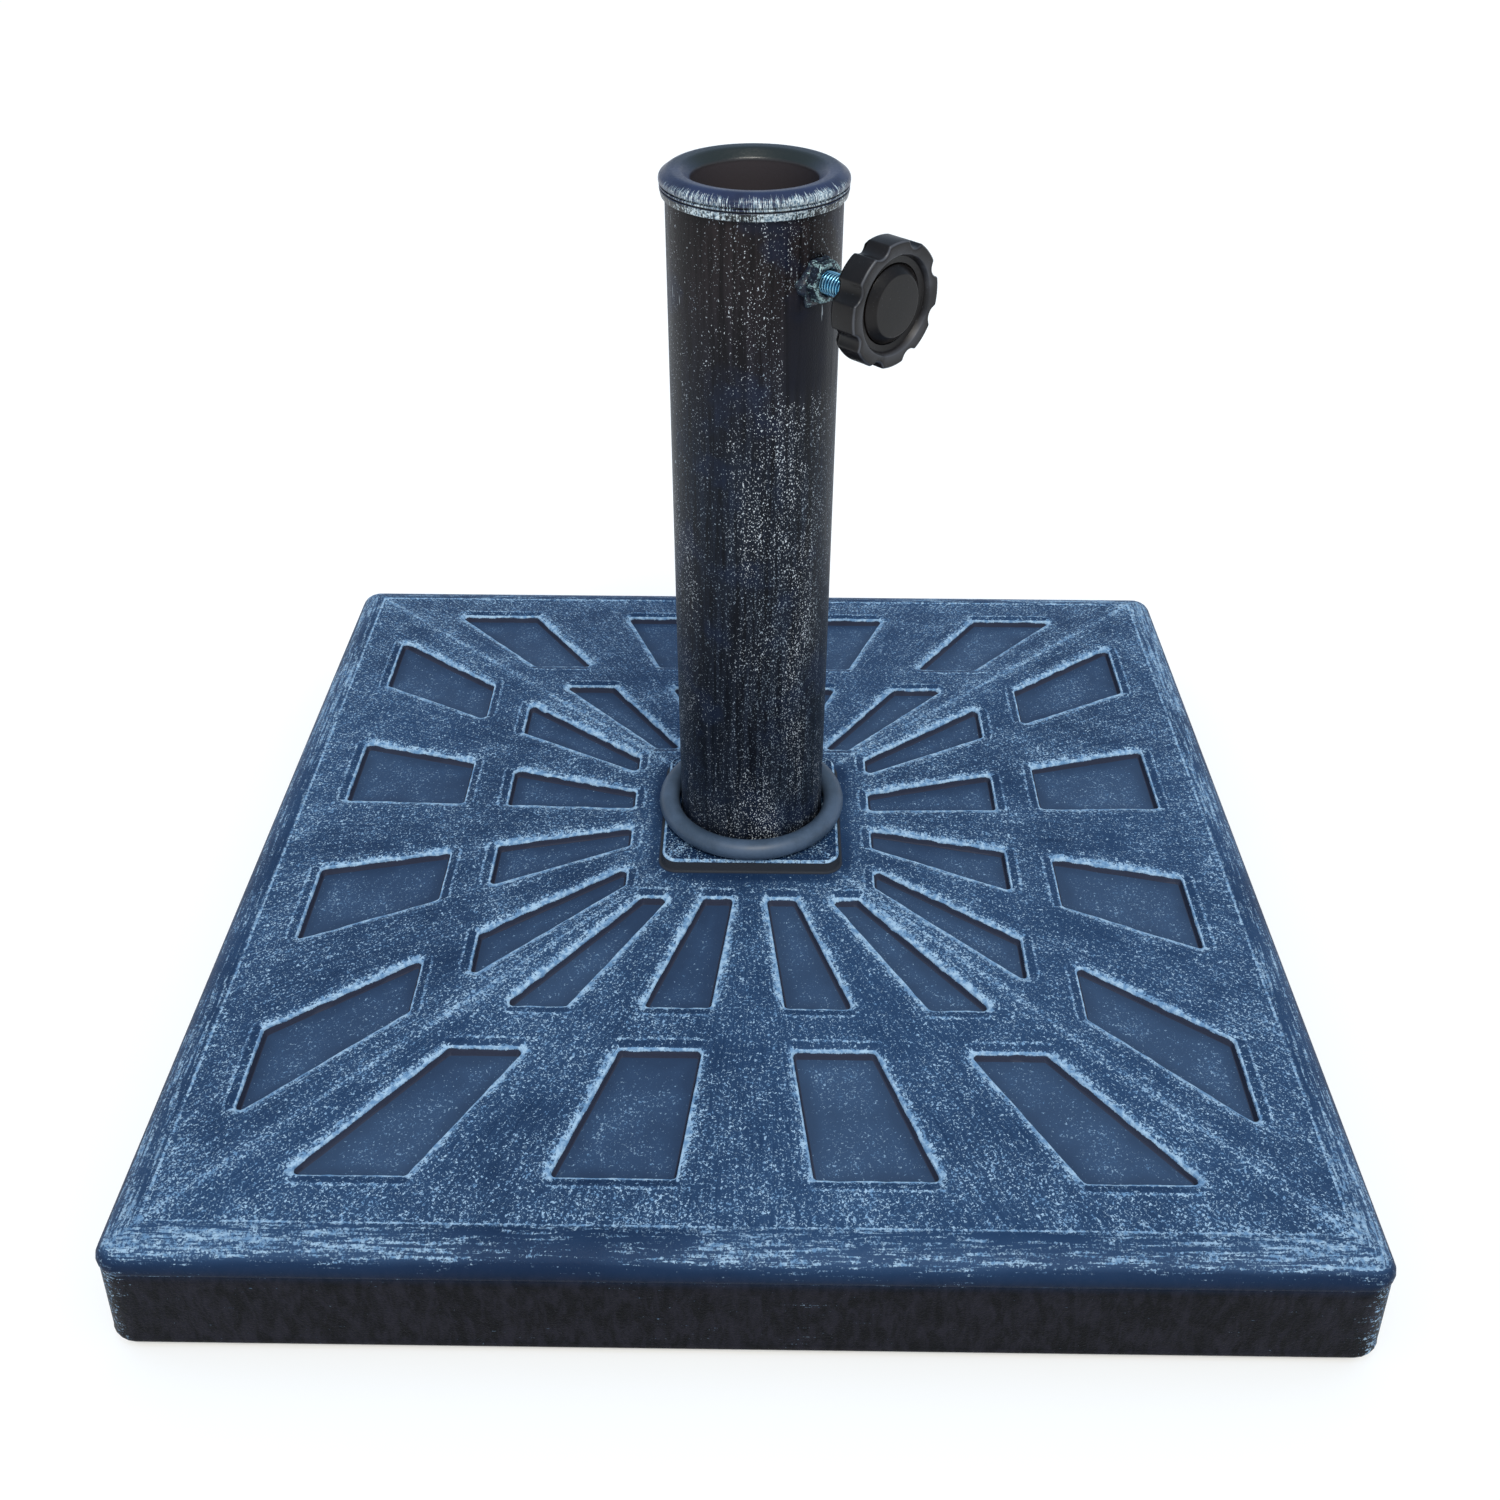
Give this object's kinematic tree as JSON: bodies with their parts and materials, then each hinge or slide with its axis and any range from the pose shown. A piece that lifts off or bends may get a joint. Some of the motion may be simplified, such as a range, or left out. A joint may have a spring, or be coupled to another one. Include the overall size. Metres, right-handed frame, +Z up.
{
  "type": "parasol base",
  "caption": "Square cast-resin parasol base with a sunray relief, a steel mast for the pole, a collar at its mouth and a clamp knob.",
  "frame": {"origin": "on the ground, at the centre of the square slab, which is the mast's axis", "axes": "+Z up along the mast; -Y is the front; +X is to the right seen from the front, on the clamp knob's side"},
  "size_m": [0.453, 0.453, 0.347],
  "materials": {
    "antique_resin": "cast resin painted near-black navy, dry-brushed with pale steel blue on its edges and high spots",
    "concrete": null,
    "foot_rubber": "plain black rubber",
    "zinc_plated_steel": "bright zinc plate with a blue passivation tint",
    "mast_paint": "near-black paint with vertical brushing and fine silver speckle",
    "seat_plastic": "moulded black plastic",
    "collar_plastic": "satin navy-black lip with silver brush marks round its outer rim",
    "ring_plastic": "plain satin charcoal",
    "nut_paint": "painted with the mast, flecked with silver",
    "knob_plastic": "satin black moulded plastic"
  },
  "bodies": {
    "base": {"base_shell": "antique_resin", "concrete_fill": "concrete", "foot_pad_1": "foot_rubber", "foot_pad_2": "foot_rubber", "foot_pad_3": "foot_rubber", "foot_pad_4": "foot_rubber", "anchor_plate": "zinc_plated_steel", "anchor_spring_washer": "zinc_plated_steel", "anchor_bolt": "zinc_plated_steel", "mast_tube": "mast_paint", "mast_foot_plate": "mast_paint", "mast_foot_nut": "zinc_plated_steel", "pole_seat": "seat_plastic", "top_collar": "collar_plastic", "clamp_nut": "nut_paint", "clamp_nut_weld": "nut_paint"},
    "trim_ring": {"foot_ring": "ring_plastic"},
    "clamp_feed_body": {"thrust_cap": "seat_plastic"},
    "clamp_screw": {"clamp_bolt": "zinc_plated_steel", "knob_body": "knob_plastic", "knob_cap": "knob_plastic"}
  },
  "joints": [
    {"name": "trim_ring_lift", "type": "slide", "parent": "base", "child": "trim_ring", "axis": [0, 0, 1], "range_m": [0, 0.215]},
    {"name": "clamp_feed", "type": "slide", "parent": "base", "child": "clamp_feed_body", "axis": [-0.7071, 0.7071, 0], "range_m": [0, 0.015]},
    {"name": "clamp_turn", "type": "hinge", "parent": "clamp_feed_body", "child": "clamp_screw", "pos_m": [0, 0, 0.316], "axis": [-0.7071, 0.7071, 0], "range_deg": [0, 4320]}
  ],
  "couplings": [
    {"joint": "clamp_feed", "follows": "clamp_turn", "m_per_rad": 0.00019894}
  ]
}
